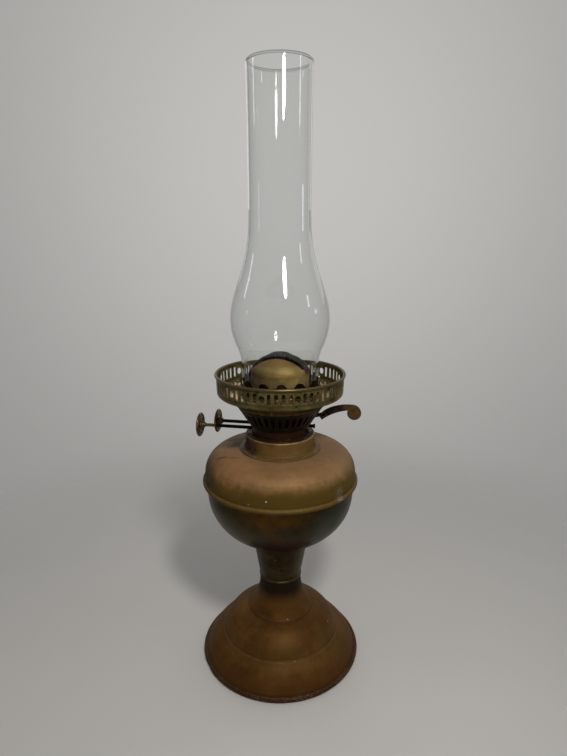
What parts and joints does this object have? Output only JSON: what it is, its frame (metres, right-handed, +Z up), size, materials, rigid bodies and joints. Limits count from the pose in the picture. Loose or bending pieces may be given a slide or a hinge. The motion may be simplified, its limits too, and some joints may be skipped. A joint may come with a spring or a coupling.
{
  "type": "hurricane lamp",
  "caption": "Aged brass table oil lamp with stepped round foot, bulbous font, flat-wick burner with side winder knobs and thumb lever, pierced shade gallery and tall bulged glass chimney.",
  "frame": {"origin": "on the lamp's axis at table level, the centre of the underside of the foot", "axes": "+Z up along the lamp's axis, -X towards the winder knobs, +X towards the extinguisher lever, -Y towards the front wick and the viewer"},
  "size_m": [0.148, 0.148, 0.513],
  "materials": {
    "foot_brass": "aged brown, half-gloss",
    "stem_brass": "aged brown, half-gloss",
    "bowl_brass": "dark iridescent patina",
    "font_brass": "warm brown patina, soft sheen",
    "inner_brass": "dull brass",
    "black_brass": "blackened by heat and oil",
    "knob_bronze": "dark bronze, worn rim",
    "lever_brown": "dark brown, worn",
    "gallery_brass": "olive tarnish with brown lip",
    "dome_brass": "spun brass, heat tinted at the slots",
    "chimney_glass": "clear, polished",
    "wick_cotton": "woven cotton",
    "ballast_iron": "rough cast",
    "tie_steel": "plain steel",
    "base_cloth": "green baize"
  },
  "bodies": {
    "lamp_base": {"foot_shell": "foot_brass", "rim_wire": "tie_steel", "foot_weight": "ballast_iron", "base_felt": "base_cloth", "tie_rod": "tie_steel", "tie_washer": "tie_steel", "tie_nut": "tie_steel", "stem_cup": "stem_brass", "font_boss": "inner_brass", "font_lower": "bowl_brass", "font_upper": "font_brass", "font_neck": "font_brass", "font_collar": "inner_brass"},
    "burner": {"burner_collar": "black_brass", "burner_floor": "inner_brass", "basket": "black_brass", "air_plate": "inner_brass", "wick_tube_front": "inner_brass", "wick_tube_rear": "inner_brass", "lever_bracket": "black_brass", "lever_pin": "black_brass"},
    "winder_front": {"spindle_front": "black_brass", "knob_front": "knob_bronze", "feed_wheel_front_left": "inner_brass", "feed_wheel_front_right": "inner_brass"},
    "winder_rear": {"spindle_rear": "black_brass", "knob_rear": "knob_bronze", "feed_wheel_rear_left": "inner_brass", "feed_wheel_rear_right": "inner_brass"},
    "front_wick": {"wick_front": "wick_cotton"},
    "rear_wick": {"wick_rear": "wick_cotton"},
    "extinguisher_lever": {"lever_arm": "black_brass", "lever_thumb": "lever_brown", "lever_rivet": "lever_brown"},
    "snuffers": {"snuffer_front": "inner_brass", "snuffer_rear": "inner_brass", "snuffer_yoke": "inner_brass"},
    "gallery": {"gallery_ring": "gallery_brass", "gallery_collar": "gallery_brass", "dome": "dome_brass", "dome_rivet_1": "inner_brass", "dome_rivet_2": "inner_brass", "dome_rivet_3": "inner_brass", "dome_rivet_4": "inner_brass", "chimney_crown": "gallery_brass"},
    "glass_chimney": {"chimney": "chimney_glass"}
  },
  "joints": [
    {"name": "burner_lift", "type": "slide", "parent": "lamp_base", "child": "burner", "axis": [0, 0, 1], "range_m": [0, 0.11]},
    {"name": "winder_front_turn", "type": "hinge", "parent": "burner", "child": "winder_front", "pos_m": [-0.03, -0.0066, 0.2245], "axis": [-1, 0, 0], "range_deg": [-215, 130]},
    {"name": "winder_rear_turn", "type": "hinge", "parent": "burner", "child": "winder_rear", "pos_m": [-0.03, 0.0066, 0.2245], "axis": [1, 0, 0], "range_deg": [-215, 130]},
    {"name": "front_wick_feed", "type": "slide", "parent": "burner", "child": "front_wick", "axis": [0, 0, 1], "range_m": [-0.0098, 0.0059]},
    {"name": "rear_wick_feed", "type": "slide", "parent": "burner", "child": "rear_wick", "axis": [0, 0, 1], "range_m": [-0.0098, 0.0059]},
    {"name": "extinguisher_press", "type": "hinge", "parent": "burner", "child": "extinguisher_lever", "pos_m": [0.027, 0, 0.236], "axis": [0, 1, 0], "range_deg": [0, 20]},
    {"name": "snuffer_rise", "type": "slide", "parent": "burner", "child": "snuffers", "axis": [0, 0, 1], "range_m": [0, 0.006]},
    {"name": "gallery_lift", "type": "slide", "parent": "burner", "child": "gallery", "axis": [0, 0, 1], "range_m": [0, 0.05]},
    {"name": "chimney_lift", "type": "slide", "parent": "gallery", "child": "glass_chimney", "axis": [0, 0, 1], "range_m": [0, 0.06]}
  ],
  "couplings": [
    {"joint": "front_wick_feed", "follows": "winder_front_turn", "m_per_rad": 0.0026},
    {"joint": "rear_wick_feed", "follows": "winder_rear_turn", "m_per_rad": 0.0026},
    {"joint": "snuffer_rise", "follows": "extinguisher_press", "m_per_rad": 0.0169}
  ]
}
